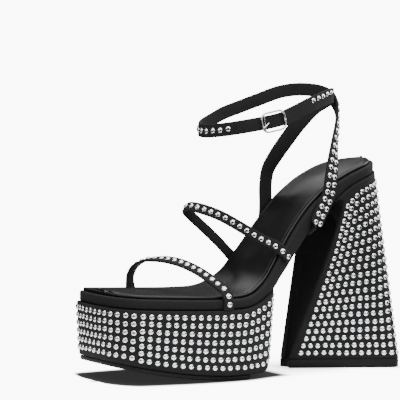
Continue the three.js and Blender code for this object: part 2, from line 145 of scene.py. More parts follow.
def meshObject(name, points, groups):
    # points in mm from the back of the seat, moved to the heel's middle and to metres;
    # groups: integer arrays of faces, all faces of one array with as many corners
    mesh = bpy.data.meshes.new(name)
    place = (np.asarray(points, float).reshape(-1, 3) - (heelMiddle, 0, 0)) * mm
    sizes = np.concatenate([np.full(len(g), g.shape[1]) for g in groups])
    corners = np.concatenate([g.ravel() for g in groups])
    mesh.vertices.add(len(place))
    mesh.vertices.foreach_set("co", place.ravel())
    mesh.loops.add(len(corners))
    mesh.loops.foreach_set("vertex_index", corners.astype(np.int32))
    mesh.polygons.add(len(sizes))
    starts = np.concatenate([[0], np.cumsum(sizes)[:-1]])
    mesh.polygons.foreach_set("loop_start", starts.astype(np.int32))
    mesh.polygons.foreach_set("use_smooth", np.full(len(sizes), True))
    mesh.update(calc_edges=True)
    mesh.validate()
    thing = bpy.data.objects.new(name, mesh)
    bpy.context.scene.collection.objects.link(thing)
    return thing


def addAttribute(thing, name, values):
    # one value for each vertex, which the piece's material reads
    thing.data.attributes.new(name, "FLOAT", "POINT").data.foreach_set("value", values.astype(np.float32))


def closedGrid(points, flip=False):
    # points (rings, around, 3): quads between rings; equal points are welded, closed-up faces left out
    rings, around = points.shape[:2]
    flat = np.round(points.reshape(-1, 3), 4)
    unique, index = np.unique(flat, axis=0, return_inverse=True)
    index = index.reshape(rings, around)
    a, b = index[:-1], index[1:]
    quads = np.stack([a, np.roll(a, -1, 1), np.roll(b, -1, 1), b], -1).reshape(-1, 4)
    if flip:
        quads = quads[:, ::-1]
    same = quads == np.roll(quads, -1, 1)
    full = quads[~same.any(1)]
    full = full[(full[:, 0] != full[:, 2]) & (full[:, 1] != full[:, 3])]
    single = same.sum(1) == 1
    order = (np.argmax(same[single], 1)[:, None] + 1 + np.arange(3)) % 4
    three = np.take_along_axis(quads[single], order, 1)
    three = three[(three != np.roll(three, -1, 1)).all(1)]
    return unique, [g for g in (full, three) if len(g)]


def layerPoints(v, rings, bottom, top, start=None, backRound=0.0):
    # a sole layer: columns of (x, y, z) across the underside, up the outer wall, over the top and down again;
    # rings are (margin, up, offset): y = half width at the margin, z = mix(bottom, top, up) + offset * slope;
    # it reaches round the seat, or begins at a start of its own with rounded rear corners
    across = v["across"]
    spread = 0.5 - 0.5 * np.cos(np.pi * np.linspace(0, 1, v["stations"]))
    sides = []
    for margin, up, offset in rings:
        low = -margin if start is None else start - (margin - rings[-1][0])
        x = mix(low, last["length"] + margin, spread)
        outer, inner = halfWidths(x, margin)
        rear = 1 if start is None else roundEnd(x - low, backRound, last["rearPower"])
        z = mix(bottom(x), top(x), up) + offset * slopeFactor(x)
        sides.append((x, outer * rear, inner * rear, z))
    shares = np.arange(1, across) / across
    x, outer, inner, z = sides[0]
    columns = [(x, mix(-inner, outer, s), z) for s in shares]
    columns += [(x, outer, z) for x, outer, inner, z in sides]
    x, outer, inner, z = sides[-1]
    columns += [(x, mix(outer, -inner, s), z) for s in shares]
    columns += [(x, -inner, z) for x, outer, inner, z in sides[::-1]]
    return np.stack([np.stack(np.broadcast_arrays(*c), -1) for c in columns], 1)


def lowerRound(margin, radius, steps=4):
    # quarter circle at a wall's lower edge: (margin - r*(1 - sin t), 0, r*(1 - cos t))
    turn = np.linspace(0, np.pi / 2, steps + 1)
    return [(margin - radius * (1 - np.sin(t)), 0, radius * (1 - np.cos(t))) for t in turn]


def upperRound(margin, radius, steps=4):
    # quarter circle at a wall's upper edge: (margin - r*(1 - cos t), 1, -r*(1 - sin t))
    turn = np.linspace(0, np.pi / 2, steps + 1)
    return [(margin - radius * (1 - np.cos(t)), 1, -radius * (1 - np.sin(t))) for t in turn]


footbedLook = {"edgeRadius": 1.3, "stations": 260, "across": 24}


def makeFootbed():
    # the layer between bedUnder and bedTop, rounded at both edges
    v = footbedLook
    rings = lowerRound(0.0, v["edgeRadius"]) + upperRound(0.0, v["edgeRadius"])
    return meshObject("footbed_cover", *closedGrid(layerPoints(v, rings, bedUnder, bedTop)))


insoleLook = {
    "inset": 3.2, "thick": 2.0, "gap": 0.3, "edgeRadius": 0.9, "seamInset": 3.0, "seamDepth": 0.4,
    "seamHalf": 0.7, "seamRows": 5, "crown": 1.1, "crownPower": 1.5, "stations": 260, "across": 36,
}


def makeInsole():
    # a layer on bedTop with a pressed seam, depth * (1 - |q|), round a crown, height * (1 - q^2)^power
    v = insoleLook
    seam = -v["inset"] - v["seamInset"]
    rings = [(-v["inset"], 0, 0)] + upperRound(-v["inset"], v["edgeRadius"])
    rings += [(seam - q * v["seamHalf"], 1, -v["seamDepth"] * (1 - abs(q)))
              for q in np.linspace(-1, 1, v["seamRows"])]

    def low(x):
        # a gap above the footbed
        return bedTop(x) + v["gap"] * slopeFactor(x)

    def high(x):
        # the gap and the thickness above it
        return bedTop(x) + (v["gap"] + v["thick"]) * slopeFactor(x)

    points = layerPoints(v, rings, low, high)
    outer, inner = halfWidths(points[..., 0], seam - v["seamHalf"])
    q = np.clip(points[..., 1] / np.maximum(np.where(points[..., 1] > 0, outer, inner), 1e-3), -1, 1)
    onTop = points[..., 2] > (low(points[..., 0]) + high(points[..., 0])) / 2
    points[..., 2] += v["crown"] * (1 - q ** 2) ** v["crownPower"] * onTop
    return meshObject("insole_pad", *closedGrid(points))


platformLook = {
    "back": 96.0, "backRound": 15.0, "heelRound": 19.0, "ledge": 2.3, "lean": 2.4, "edgeRadius": 0.9,
    "soleThick": 3.0, "gap": 0.3, "stations": 220, "across": 20, "wallRows": 9,
}


def platformBottom(x):
    # the outsole's top plus a quarter round under the rear end
    v = platformLook
    q = np.clip((v["back"] + v["heelRound"] - x) / v["heelRound"], 0, 1)
    return treadHeight(x) + v["soleThick"] + v["gap"] + v["heelRound"] * (1 - np.sqrt(1 - q * q))


def platformTop(x):
    # the footbed's underside less the gap
    return bedUnder(x) - platformLook["gap"] * slopeFactor(x)


def platformMargin(up):
    # the wall stands out by the ledge at the top and leans in by lean at the bottom
    return platformLook["ledge"] - platformLook["lean"] * (1 - up)


def makePlatform():
    # the layer between platformBottom and platformTop with a leaning wall
    v = platformLook
    rings = lowerRound(platformMargin(0), v["edgeRadius"], 3)
    rings += [(platformMargin(up), up, 0) for up in np.linspace(0.1, 0.9, v["wallRows"])]
    rings += upperRound(platformMargin(1), v["edgeRadius"], 3)
    points = layerPoints(v, rings, platformBottom, platformTop, v["back"], v["backRound"])
    return meshObject("platform_cover", *closedGrid(points))


outsoleLook = {"inset": 1.2, "edgeRadius": 0.5, "stations": 180, "across": 16}


def outsoleTop(x):
    # treadHeight + the sole's thickness
    return treadHeight(x) + platformLook["soleThick"]


def makeOutsole():
    # the layer between treadHeight and outsoleTop, set in from the platform's wall
    v = outsoleLook
    margin = platformMargin(0) - v["inset"]
    start = platformLook["back"] + platformLook["heelRound"]
    rings = lowerRound(margin, v["edgeRadius"], 3) + upperRound(margin, v["edgeRadius"], 3)
    points = layerPoints(v, rings, treadHeight, outsoleTop, start, platformLook["backRound"])
    return meshObject("outsole_rubber", *closedGrid(points))


# Heel: floor sizes at its foot, seat sizes under the footbed, in mm from the back of the seat
heelLook = {
    "tip": 6.2, "gap": 0.3, "frontFloor": 69.5, "frontWidth": 11.0, "rearFloor": -8.0, "rearWidth": 79.0,
    "cornerFloor": 9.0, "frontSeat": 48.0, "seatLedge": 1.0, "hollow": 2.2, "levels": 110, "edge": 0.8,
    "rim": 0.9, "rimSlope": 0.7, "recess": 0.9, "archDrop": 7.0, "archRise": 12.0,
    "sweep": 11.9, "sweepFrom": 0.87, "cornerHold": 0.45,
}
# middle of the heel's foot, a third of the way from its broad rear to its front: the part's origin
heelMiddle = (heelLook["frontFloor"] + 2 * heelLook["rearFloor"]) / 3


def bezier(points, count):
    # sum of comb(n, k) * t^k * (1 - t)^(n - k) * point k, count points without the last
    t = (np.arange(count) / count)[:, None]
    n = len(points) - 1
    shares = [math.comb(n, k) * t ** k * (1 - t) ** (n - k) for k in range(n + 1)]
    return sum(share * np.asarray(point, float) for share, point in zip(shares, points))


def heelKeys(up):
    # front and rear corners of the heel's plan: straight mixes from floor to seat, and the front edge swept
    # forward by sweep * (1 - sqrt(1 - t^2)) over its last stretch
    v = heelLook
    outerSeat, innerSeat = halfWidths(v["frontSeat"], v["seatLedge"])
    turned = max(0.0, (up - v["sweepFrom"]) / (1 - v["sweepFrom"]))
    swept = v["sweep"] * (1 - math.sqrt(1 - turned ** 2))
    front = mix(v["frontFloor"], v["frontSeat"] - v["sweep"], up) + swept
    rear = mix(v["rearFloor"], -v["seatLedge"], up)
    corner = mix(v["cornerFloor"], last["seatRound"] + v["seatLedge"], up)
    keys = {}
    for side, sign, seat in (("outer", 1, float(outerSeat)), ("inner", -1, float(innerSeat))):
        frontY = sign * mix(v["frontWidth"] / 2, seat, up)
        rearY = sign * mix(v["rearWidth"] / 2, seat - v["gap"], up)
        edge = unit(np.array([front - rear, frontY - rearY])) * corner
        keys[side] = {"front": np.array([front, frontY]), "turn": np.array([rear, rearY]) + edge,
                      "rear": np.array([rear, rearY]), "edge": edge, "corner": corner}
    return keys


ringParts = (40, 4, 36, 14, 24, 14, 36, 4)  # columns of each part of the heel's plan
frontColumns = ringParts[0]
sideStart = ringParts[0] + ringParts[1]


def heelRing(up):
    # plan at a share of the height, each stretch a Bezier curve: hollow front, round edge, outer side, outer
    # corner, rear, inner corner, inner side, round edge
    keys = heelKeys(up)
    outer, inner = keys["outer"], keys["inner"]
    hold, nip = heelLook["cornerHold"], heelLook["edge"]
    dip = np.array([outer["front"][0] - 2 * heelLook["hollow"], (outer["front"][1] + inner["front"][1]) / 2])
    outerRear = outer["rear"] - (0, outer["corner"])
    innerRear = inner["rear"] + (0, inner["corner"])
    outerHolds = (outer["rear"] + outer["edge"] * hold, outer["rear"] - (0, outer["corner"] * hold))
    innerHolds = (inner["rear"] + (0, inner["corner"] * hold), inner["rear"] + inner["edge"] * hold)
    outerSide = outer["front"] + unit(outer["turn"] - outer["front"]) * nip
    innerSide = inner["front"] + unit(inner["turn"] - inner["front"]) * nip
    outerNip = outer["front"] + unit(dip - outer["front"]) * nip
    innerNip = inner["front"] + unit(dip - inner["front"]) * nip
    controls = (
        [innerNip, dip, outerNip], [outerNip, outer["front"], outerSide], [outerSide, outer["turn"]],
        [outer["turn"], *outerHolds, outerRear], [outerRear, innerRear],
        [innerRear, *innerHolds, inner["turn"]], [inner["turn"], innerSide],
        [innerSide, inner["front"], innerNip],
    )
    return np.concatenate([bezier(points, count) for points, count in zip(controls, ringParts)])


def heelHeight(x, up):
    # mix(base, bed's underside over the same share of the seat, up)
    v = heelLook
    seatX = v["frontSeat"] * np.clip((x + v["seatLedge"]) / v["frontSeat"], 0, 1)
    base = v["tip"] + v["gap"]
    return np.where(up >= 1, bedUnder(x) - v["gap"] * slopeFactor(x), mix(base, bedUnder(seatX), up))


def heelBand(ups):
    # the heel's rings at shares of its height, one above the other: (x, y) = heelRing, z = heelHeight
    rings = [(up, heelRing(up)) for up in ups]
    return np.stack([np.column_stack([ring, heelHeight(ring[:, 0], up)]) for up, ring in rings])


def heelCap(ring, up, shares):
    # rings shrunk to shares of an end ring, each point at heelHeight
    plans = [mix(ring[:, :2].mean(0), ring[:, :2], share) for share in shares]
    return np.stack([np.column_stack([plan, heelHeight(plan[:, 0], up)]) for plan in plans])


def breastShare(sides):
    # 1 inside the breast's panel: smooth(distance to its side edges or to its arched top, past the rim)
    v = heelLook
    front = sides[:, :frontColumns]
    q = np.abs(np.linspace(-1, 1, frontColumns))[None]
    half = np.abs(front[:, -1, 1] - front[:, 0, 1])[:, None] / 2
    toSide = (1 - q) * half
    arch = bedUnder(v["frontSeat"]) - v["archDrop"] - v["archRise"] * (1 - np.sqrt(np.maximum(1 - q ** 2, 0)))
    toTop = arch - front[..., 2]
    return smooth(np.minimum(toSide, toTop), v["rim"], v["rim"] + v["rimSlope"])


def makeHeel():
    # the band of rings, its breast set back by recess * share of the panel, closed by shrinking rings
    v = heelLook
    sides = heelBand(np.linspace(0, 1, v["levels"]))
    share = breastShare(sides)
    sides[:, :frontColumns, 0] -= v["recess"] * share
    low = heelCap(sides[0], 0, (0.0, 0.5, 0.98))
    high = heelCap(sides[-1], 1, (0.98, 0.66, 0.33, 0.0))
    grid = np.concatenate([low, sides, high])
    panel = np.zeros(grid.shape[:2])
    panel[len(low):len(low) + len(sides), :frontColumns] = share
    thing = meshObject("heel_cover", *closedGrid(grid))
    # each welded vertex takes the share of the first grid point that it stands for
    first = np.unique(np.round(grid.reshape(-1, 3), 4), axis=0, return_index=True)[1]
    # the panel share marks both the satin and the painted shade of the breast
    addAttribute(thing, "panel", panel.ravel()[first])
    return thing


def makeHeelTip():
    # the floor's ring at rows of (share of the ring, height), round at its edges
    v = heelLook
    ring = heelRing(0)
    middle = ring.mean(0)
    rows = [(0.0, 0.0), (0.6, 0.0), (0.985, 0.0), (1.0, 0.5), (1.0, v["tip"] - 0.3), (0.992, v["tip"]),
            (0.5, v["tip"]), (0.0, v["tip"])]
    points = np.stack([np.column_stack([mix(middle, ring, s), np.full(len(ring), z)]) for s, z in rows])
    return meshObject("heel_tip_rubber", *closedGrid(points))


# Straps: a way is a path with its run, its direction ahead and the direction out of the strap's face
strapLook = {
    "thick": 1.7, "rootClear": 0.35, "gap": 0.3, "riserWidth": 11.0, "loopWidth": 9.4, "edge": 0.55,
    "puff": 0.12, "endLift": 0.25, "tuckIn": 5.0, "tuckAhead": 5.0,
}
toeArch = {
    "outerAt": 146.0, "innerAt": 174.0, "lift": 0.0, "tilt": 90.0, "lean": 0.6, "rise": 30.5, "width": 7.4,
}
toeRows = np.array([  # across, up
    (0.93, 0.42), (0.82, 0.52), (0.64, 0.65), (0.39, 0.81), (0.07, 0.945), (-0.24, 1.0), (-0.49, 0.99),
    (-0.72, 0.93), (-0.92, 0.77), (-1.01, 0.54),
])
instepArch = {
    "outerAt": 89.0, "innerAt": 94.0, "lift": 5.5, "tilt": 42.0, "lean": 0.5, "rise": 60.0, "width": 7.4,
}
instepRows = np.array([
    (0.95, 0.23), (0.68, 0.35), (0.45, 0.5), (0.2, 0.67), (-0.04, 0.8), (-0.32, 0.89), (-0.59, 0.95),
    (-0.82, 0.98), (-1.0, 0.965), (-1.09, 0.915), (-1.1, 0.82), (-1.06, 0.66), (-1.02, 0.48), (-1.0, 0.3),
])
loop = {"back": 33.0, "length": 108.5, "half": 32.3, "height": 197.0, "turnHeight": 20.0}
longRows = np.array([  # shares of the loop's length, half width and height
    (0.185, 0.94, 0.69), (0.148, 0.83, 0.755), (0.1, 0.67, 0.825), (0.045, 0.48, 0.893),
    (-0.002, 0.217, 0.95), (-0.015, -0.09, 0.987), (0.014, -0.42, 1.005), (0.085, -0.76, 1.01),
    (0.2, -0.94, 1.001), (0.38, -1.0, 0.969), (0.54, -0.99, 0.941), (0.66, -0.94, 0.921),
    (0.78, -0.81, 0.897), (0.9, -0.58, 0.876), (0.977, -0.25, 0.864), (0.997, 0.1, 0.861),
    (0.96, 0.46, 0.866), (0.88, 0.8, 0.877), (0.78, 0.955, 0.888), (0.67, 1.015, 0.899),
    (0.56, 0.995, 0.913), (0.48, 0.935, 0.929),
])
shortRows = np.array([
    (0.34, -0.83, 0.66), (0.33, -0.79, 0.715), (0.285, -0.715, 0.766), (0.23, -0.61, 0.818),
    (0.16, -0.42, 0.886), (0.082, -0.22, 0.944), (0.0235, 0.05, 0.977), (0.044, 0.29, 0.988),
    (0.12, 0.54, 0.988), (0.235, 0.75, 0.974), (0.362, 0.9, 0.954), (0.478, 0.98, 0.93),
    (0.575, 1.035, 0.911),
])


def curvePoints(points, count):
    # centripetal cubic through the points, mix of end points and slopes m1 and m2, then equal steps along it
    p = np.asarray(points, float)
    ends = np.vstack([2 * p[0] - p[1], p, 2 * p[-1] - p[-2]])
    t = np.linspace(0, len(p) - 1, 4000)
    i = np.minimum(t.astype(int), len(p) - 2)
    s = (t - i)[:, None]
    p0, p1, p2, p3 = ends[i], ends[i + 1], ends[i + 2], ends[i + 3]
    d0, d1, d2 = (np.sqrt(np.linalg.norm(b - a, axis=1))[:, None] for a, b in ((p0, p1), (p1, p2), (p2, p3)))
    m1 = ((p1 - p0) / d0 - (p2 - p0) / (d0 + d1) + (p2 - p1) / d1) * d1
    m2 = ((p2 - p1) / d1 - (p3 - p1) / (d1 + d2) + (p3 - p2) / d2) * d1
    c = (p1 * (2 * s ** 3 - 3 * s ** 2 + 1) + m1 * (s ** 3 - 2 * s ** 2 + s)
         + p2 * (3 * s ** 2 - 2 * s ** 3) + m2 * (s ** 3 - s ** 2))
    run = runLength(c)
    at = np.linspace(0, run[-1], count)
    return alongRun(at, run, c), at


def besideBed(x, side, height):
    # middle of a strap that lies against the footbed's side: half width + gap + half the strap + clearance
    outer, inner = halfWidths(x, strapLook["gap"] + strapLook["thick"] / 2 + strapLook["rootClear"])
    return np.array([x, float(outer if side > 0 else -inner), height])


def offBed(x, side):
    # straight off the footbed's side: (-d(half width)/dx, side, 0)
    outer, inner = np.subtract(halfWidths(x + 1, 0), halfWidths(x - 1, 0)) / 2
    return unit(np.column_stack([-np.where(side > 0, outer, inner), side, np.zeros_like(x)]))


def squared(out, ahead):
    # unit(out - (out . ahead) * ahead)
    return unit(out - (out * ahead).sum(1, keepdims=True) * ahead)


def archPath(arch, rows, count=400):
    # (across, up) rows in one tilted plane: mix(inner, outer, (a + 1) / 2) + reach * up * rise
    tilt = math.radians(arch["tilt"])
    reach = np.array([math.cos(tilt), 0, math.sin(tilt)])
    outer = besideBed(arch["outerAt"], 1, float(bedUnder(arch["outerAt"])) + arch["lift"])
    inner = besideBed(arch["innerAt"], -1, float(bedUnder(arch["innerAt"])) + arch["lift"])
    climb = reach * last["bedThick"]
    points = [outer, besideBed(outer[0] + climb[0], 1, outer[2] + climb[2])]
    points += [mix(inner, outer, (a + 1) / 2) + reach * u * arch["rise"] for a, u in rows]
    points += [besideBed(inner[0] + climb[0], -1, inner[2] + climb[2]), inner]
    path, run = curvePoints(points, count)
    square = unit(np.cross(inner - outer, reach))
    ahead = unit(np.gradient(path, axis=0))
    above = smooth(path[:, 2] - bedTop(path[:, 0]), 0, last["bedThick"])[:, None]
    leaning = arch["lean"] * smooth(path[:, 1:2], inner[1], 0)
    free = unit(np.cross(square, ahead) - leaning * square)
    out = mix(offBed(path[:, 0], np.sign(path[:, 1])), free, above)
    return {"path": path, "run": run, "ahead": ahead, "out": squared(out, ahead)}


def loopPoint(row):
    # (back + a * length, b * half width, c * height)
    return np.array([loop["back"] + row[0] * loop["length"], row[1] * loop["half"], row[2] * loop["height"]])


def loopOutward(path):
    # off the ankle's ellipse, (x / half^2, y / half^2, 0), turning to straight off the footbed beside it
    half = loop["length"] / 2
    x = path[:, 0] - loop["back"] - half
    out = unit(np.column_stack([x / half ** 2, path[:, 1] / loop["half"] ** 2, np.zeros(len(path))]))
    seat, turn = last["seatHeight"], loop["turnHeight"]
    high = smooth(path[:, 2], seat - turn, seat + turn)
    return mix(offBed(path[:, 0], np.sign(path[:, 1])), out, high[:, None])


def underBed(x):
    # square off the footbed's underside: (slope, 0, -1)
    slope = (bedUnder(x + 1) - bedUnder(x - 1)) / 2
    return unit(np.column_stack([slope, np.zeros_like(x), -np.ones_like(x)]))


def anklePath(roots, side, rows, count):
    # a curve through a turned-in end under the footbed, roots beside it as (share, height in thicknesses)
    # and the loop's rows
    v = strapLook
    off = v["gap"] + v["thick"] / 2
    foot = roots[0][0] * last["length"]
    tucked = besideBed(foot + v["tuckAhead"], side, 0.0) - (0, side * (v["tuckIn"] + off), 0)
    tucked[2] = float(bedUnder(tucked[0]) - off * slopeFactor(tucked[0]))
    # the bend of that end, at shares of the tuck and of the strap's distance
    corner = besideBed(foot + 0.35 * v["tuckAhead"], side, 0.0) - (0, side * off * 0.45, 0)
    corner[2] = float(bedUnder(corner[0]) - 0.6 * off)
    points = [tucked, corner]
    for share, up in roots:
        x = share * last["length"]
        points.append(besideBed(x, side, float(bedUnder(x)) + up * last["bedThick"]))
    points += [loopPoint(r) for r in rows]
    path, run = curvePoints(points, count)
    ahead = unit(np.gradient(path, axis=0))
    outer, inner = halfWidths(path[:, 0], 0)
    inside = np.where(side > 0, outer, inner) + off - np.abs(path[:, 1])
    under = smooth(inside, -0.6, 1.2) * (path[:, 2] < bedUnder(path[:, 0]) + 1.0)
    out = mix(loopOutward(path), underBed(path[:, 0]), under[:, None])
    return {"path": path, "run": run, "ahead": ahead, "out": squared(out, ahead)}


def strapSection(width):
    # rounded rectangle: a across the strap, b off its face, crowned by puff * (1 - (2a / width)^2)
    thick, edge = strapLook["thick"], strapLook["edge"]
    turn = np.linspace(0, np.pi / 2, 5)
    corner = np.column_stack([np.cos(turn), np.sin(turn)])
    flat = np.column_stack([np.linspace(0.8, -0.8, 7), np.ones(7)])
    signs, offsets = [], []
    for across, off in ((1, 1), (-1, 1), (-1, -1), (1, -1)):
        signs.append(np.tile((across, off), (5, 1)))
        offsets.append(corner[::across * off] * (across, off))
        if across == off:
            signs.append(flat * (across, off))
            offsets.append(np.tile((0.0, off), (7, 1)))
    signs, offsets = np.concatenate(signs), np.concatenate(offsets)
    a = signs[:, 0] * (width[:, None] / 2 - edge) + offsets[:, 0] * edge
    b = signs[:, 1] * (thick / 2 - edge) + offsets[:, 1] * edge
    return a, b + strapLook["puff"] * (1 - (2 * a / width[:, None]) ** 2) * np.sign(b)


def closedEnds(path, grid, ahead, lift, shrink):
    # the grid, and at either end a shrunk ring and a middle point: mix(path, grid, share) + lift * ahead
    first = [mix(path[0], grid[0], share) - lift * ahead[0] for share in (0.0, shrink)]
    final = [mix(path[-1], grid[-1], share) + lift * ahead[-1] for share in (shrink, 0.0)]
    return np.concatenate([np.stack(first), grid, np.stack(final)])


def strapPoints(way, width):
    # point = path + a * across + b * out
    path, out, ahead = way["path"], way["out"], way["ahead"]
    a, b = strapSection(np.broadcast_to(width, len(path)).astype(float))
    grid = path[:, None] + a[..., None] * np.cross(out, ahead)[:, None] + b[..., None] * out[:, None]
    return closedEnds(path, grid, ahead, strapLook["endLift"], 0.92)


def makeStrap(name, way, width):
    # strapPoints as a closed mesh
    return meshObject(name, *closedGrid(strapPoints(way, width), flip=True))


toeWay = archPath(toeArch, toeRows)
instepWay = archPath(instepArch, instepRows)
longWay = anklePath(((0.281, 0.3), (0.262, 0.8), (0.243, 1.6)), 1, longRows, 900)
shortWay = anklePath(((0.317, 0.3), (0.312, 1.0), (0.31, 2.1)), -1, shortRows, 500)
longShare = longWay["run"] / longWay["run"][-1]
longWidth = mix(strapLook["riserWidth"], strapLook["loopWidth"], smooth(longShare, 0.2, 0.3))

# Buckle: a wire frame whose ends meet in its rear bar, a second bar beside its front one and a hooked prong
buckleLook = {
    "row": 19, "length": 20.0, "height": 14.6, "corner": 4.2, "gap": 0.35, "barStep": 2.1,
    "wire": 0.68, "barWire": 0.544, "prongWire": 0.6, "prongStart": 5.6, "prongDrop": 2.6, "sides": 10,
}


def wirePoints(path, flat, radius):
    # ring point = path + radius * (cos * (flat x ahead) + sin * flat), flat square to the whole path
    ahead = unit(np.gradient(path, axis=0))
    turn = np.arange(buckleLook["sides"]) * 2 * np.pi / buckleLook["sides"]
    side = np.cross(flat, ahead)
    ring = np.cos(turn)[None, :, None] * side[:, None] + np.sin(turn)[None, :, None] * flat
    return closedEnds(path, path[:, None] + radius * ring, ahead, 0.2 * radius, 0.8)


def roundedLoop(x, y, corner):
    # rectangle of half sizes x and y with quarter circles for corners, from its rear side's middle round
    turn = np.linspace(0, np.pi / 2, 7)
    quarter = np.column_stack([1 - np.cos(turn), np.sin(turn)]) * corner
    path = [(-x, 0.05, 0)]
    for startX, startY, signX, signY, turned in (
        (-x, y - corner, 1, 1, False), (x - corner, y, 1, -1, True),
        (x, corner - y, -1, -1, False), (corner - x, -y, -1, 1, True),
    ):
        steps = quarter[:, ::-1] if turned else quarter
        path += [(startX + signX * a, startY + signY * b, 0) for a, b in steps]
    return path + [(-x, -0.05, 0)]


def makeBuckle():
    # point = middle + a * ahead + b * across + (base + c) * out, ahead along the strap and out of its face
    v = buckleLook
    rear, middle, front = (loopPoint(longRows[v["row"] + k]) for k in (1, 0, -1))
    ahead = unit(front - rear)
    out = loopOutward(middle[None])[0]
    out = unit(out - np.dot(out, ahead) * ahead)
    across = np.cross(out, ahead)
    base = strapLook["thick"] / 2 + v["gap"] + v["wire"]

    def placed(points):
        # from the buckle's own axes to the shoe's
        p = np.asarray(points, float)
        return middle + p[:, :1] * ahead + p[:, 1:2] * across + (base + p[:, 2:]) * out

    x, y = v["length"] / 2 - v["wire"], v["height"] / 2 - v["wire"]
    bar = [(x - v["barStep"], q, 0) for q in np.linspace(-1, 1, 9) * (y - 1.6 * v["wire"])]
    start, drop, over = v["prongStart"], v["prongDrop"], v["wire"] + v["prongWire"]
    hook = [(x - start, 0.2, -0.2), (x - 0.7 * start, 0.3 * drop, 0.8 * over),
            (x - 0.35 * start, 0.75 * drop, over), (x + 0.2, 1.1 * drop, over)]
    framePoints, frameFaces = closedGrid(
        wirePoints(placed(roundedLoop(x, y, v["corner"])), out, v["wire"]), flip=True)
    barPoints, barFaces = closedGrid(wirePoints(placed(bar), out, v["barWire"]), flip=True)
    joinedFaces = frameFaces + [faces + len(framePoints) for faces in barFaces]
    wire = meshObject("buckle_wire", np.concatenate([framePoints, barPoints]), joinedFaces)
    hookPath = curvePoints(placed(hook), 18)[0]
    hookFlat = unit(np.cross(hookPath[-1] - hookPath[0], out))
    hookPoints = wirePoints(hookPath, hookFlat, v["prongWire"])
    return wire, meshObject("buckle_hook", *closedGrid(hookPoints, flip=True))


# Stones: low domes, sizes in mm
stoneLook = {
    "sides": 12, "wall": 3.95, "strap": 4.05, "pitch": 5.95, "heelPitch": 5.42, "strapPitch": 5.85,
    "riserPitch": 5.9, "riserOffset": 2.35, "sink": 0.2, "jitter": 0.12, "tilt": 0.03,
    "heelLow": 4.6, "heelTop": 7.3, "heelRows": 21, "heelBorder": 6.3, "heelBorderTop": 5.0,
    "cornerFrom": 0.05, "cornerTo": 0.75,
    "sideRows": (0.12, 0.9, 7), "toeRows": (0.149, 0.897, 6), "toeReach": 12.0,
}
# radius and height of a stone's rings, shares of its diameter
stoneProfile = ((0.5, 0.0), (0.475, 0.12), (0.39, 0.22), (0.22, 0.295))


def stoneMesh(name, spots, normals, diameter):
    # ring point = spot + (cos u + sin w) * radius * d + (height * d - sink) * normal, all in one mesh
    sides, levels = stoneLook["sides"], len(stoneProfile)
    count = len(spots)
    normals = unit(normals + rng.normal(0, stoneLook["tilt"], (count, 3)))
    guide = np.where(np.abs(normals[:, 2:3]) < 0.9, (0.0, 0.0, 1.0), (1.0, 0.0, 0.0))
    u = unit(np.cross(guide, normals))
    w = np.cross(normals, u)
    shift = rng.normal(0, stoneLook["jitter"], (2, count, 1))
    spots = spots + u * shift[0] + w * shift[1]
    turn = np.arange(sides) * 2 * np.pi / sides + rng.uniform(0, 2 * np.pi, (count, 1))
    flat = np.cos(turn)[..., None] * u[:, None] + np.sin(turn)[..., None] * w[:, None]
    rings = [spots[:, None] + flat * radius * diameter
             + (height * diameter - stoneLook["sink"]) * normals[:, None] for radius, height in stoneProfile]
    k = np.arange(sides)
    near = np.arange(levels - 1)[:, None] * sides + k
    far = np.arange(levels - 1)[:, None] * sides + (k + 1) % sides
    quads = np.stack([near, far, far + sides, near + sides], -1).reshape(-1, 4)
    base = np.arange(count)[:, None] * (levels * sides)
    walls = (quads[None] + base[..., None]).reshape(-1, 4)
    return meshObject(name, np.stack(rings, 1), [walls, base + (levels - 1) * sides + k, base + k[::-1]])


def shareAt(way, row):
    # share of the run nearest to a row of the loop
    near = np.argmin(np.linalg.norm(way["path"] - loopPoint(row), axis=1))
    return way["run"][near] / way["run"][-1]


def strapStones(way, offsets, fromShare, toShare, pitch):
    # stones at equal steps of the run: path + out * (half the strap + puff) + across * offset
    total = way["run"][-1]
    count = max(int(round((toShare - fromShare) * total / pitch)), 1)
    at = np.linspace(fromShare, toShare, count + 1) * total
    path, out, ahead = (alongRun(at, way["run"], way[key]) for key in ("path", "out", "ahead"))
    out = unit(out)
    across = np.cross(out, unit(ahead))
    face = path + out * (strapLook["thick"] / 2 + strapLook["puff"])
    return np.concatenate([face + across * offset for offset in offsets]), np.tile(out, (len(offsets), 1))


def wallRow(up, count=3000):
    # closed run round the platform's wall from the rear's middle round the outer side:
    # y = half width at the wall's margin * round rear, z = mix(bottom, top, up)
    v = platformLook
    margin = platformMargin(up)
    low = v["back"] - (margin - platformMargin(1) + v["edgeRadius"])
    x = mix(low, last["length"] + margin, 0.5 - 0.5 * np.cos(np.pi * np.linspace(0, 1, count)))
    outer, inner = halfWidths(x, margin)
    rear = roundEnd(x - low, v["backRound"], last["rearPower"])
    z = mix(platformBottom(x), platformTop(x), up)
    outerRun, innerRun = (np.column_stack([x, y * rear, z]) for y in (outer, -inner))
    ring = np.concatenate([outerRun, innerRun[::-1]])
    return ring, runLength(ring)


def wallNormal(ring):
    # the run's direction turned a quarter to the outside: (-dy, dx, 0)
    ahead = unit(np.gradient(ring, axis=0) * (1, 1, 0) + 1e-12)
    return np.column_stack([-ahead[:, 1], ahead[:, 0], np.zeros(len(ring))])


